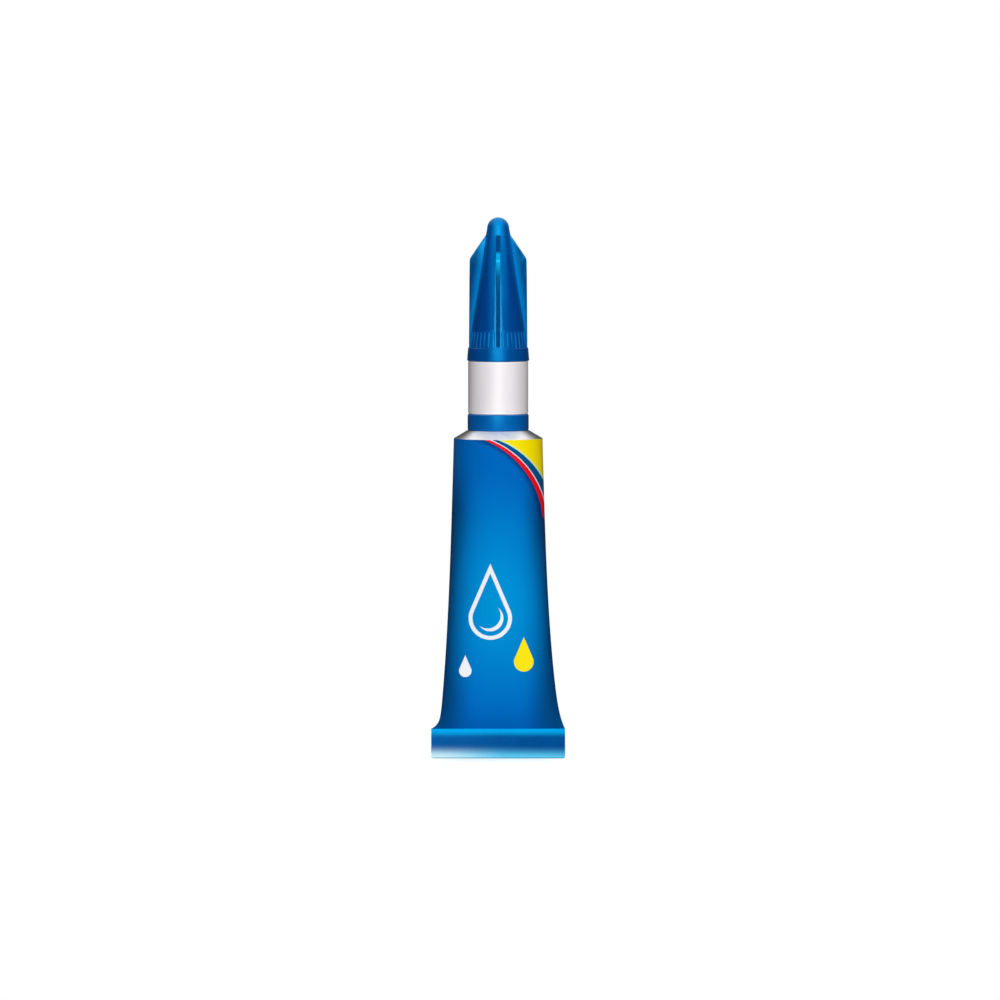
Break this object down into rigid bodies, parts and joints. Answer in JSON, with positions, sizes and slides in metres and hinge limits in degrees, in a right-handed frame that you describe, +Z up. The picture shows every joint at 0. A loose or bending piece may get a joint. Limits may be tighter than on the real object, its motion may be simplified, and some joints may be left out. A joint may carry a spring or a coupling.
{
  "type": "super glue tube",
  "caption": "Collapsible aluminium glue tube with a folded end, a screw-on piercing nozzle held up by a safety ring, and a winged screw cap with a sealing pin.",
  "frame": {"origin": "middle of the bottom edge of the folded end", "axes": "+Z up the tube towards the cap, +X to the right and -Y out of the printed front"},
  "size_m": [0.0204, 0.0136, 0.0824],
  "materials": {
    "printed_metal": "glossy printed lacquer",
    "bare_metal": "bare, satin",
    "liquid_glue": "clear liquid",
    "blue_plastic": "glossy moulded",
    "white_plastic": "satin moulded",
    "soft_seal": "soft, matte",
    "pin_steel": "drawn wire"
  },
  "bodies": {
    "tube": {"tube_wall": "printed_metal", "end_fold": "printed_metal", "tube_head": "bare_metal", "glue": "liquid_glue"},
    "safety_ring": {"safety_ring": "blue_plastic"},
    "nozzle": {"nozzle": "white_plastic"},
    "spout_seal": {"spout_seal": "soft_seal"},
    "sealing_pin": {"sealing_pin": "pin_steel"},
    "cap": {"cap": "blue_plastic"}
  },
  "joints": [
    {"name": "nozzle_lift", "type": "slide", "parent": "tube", "child": "safety_ring", "axis": [0, 0, 1], "range_m": [0, 0.00469]},
    {"name": "nozzle_turn", "type": "hinge", "parent": "safety_ring", "child": "nozzle", "pos_m": [0, 0, 0.0525], "axis": [0, 0, 1], "range_deg": [0, 1351]},
    {"name": "cap_pull", "type": "slide", "parent": "nozzle", "child": "spout_seal", "axis": [0, 0, 1], "range_m": [0, 0.022]},
    {"name": "cap_screw_lift", "type": "slide", "parent": "spout_seal", "child": "sealing_pin", "axis": [0, 0, 1], "range_m": [0, 0.003]},
    {"name": "cap_turn", "type": "hinge", "parent": "sealing_pin", "child": "cap", "pos_m": [0, 0, 0.0606], "axis": [0, 0, 1], "range_deg": [0, 721]}
  ],
  "couplings": [
    {"joint": "nozzle_turn", "follows": "nozzle_lift", "rad_per_m": 5026.5},
    {"joint": "cap_turn", "follows": "cap_screw_lift", "rad_per_m": 4188.8}
  ]
}
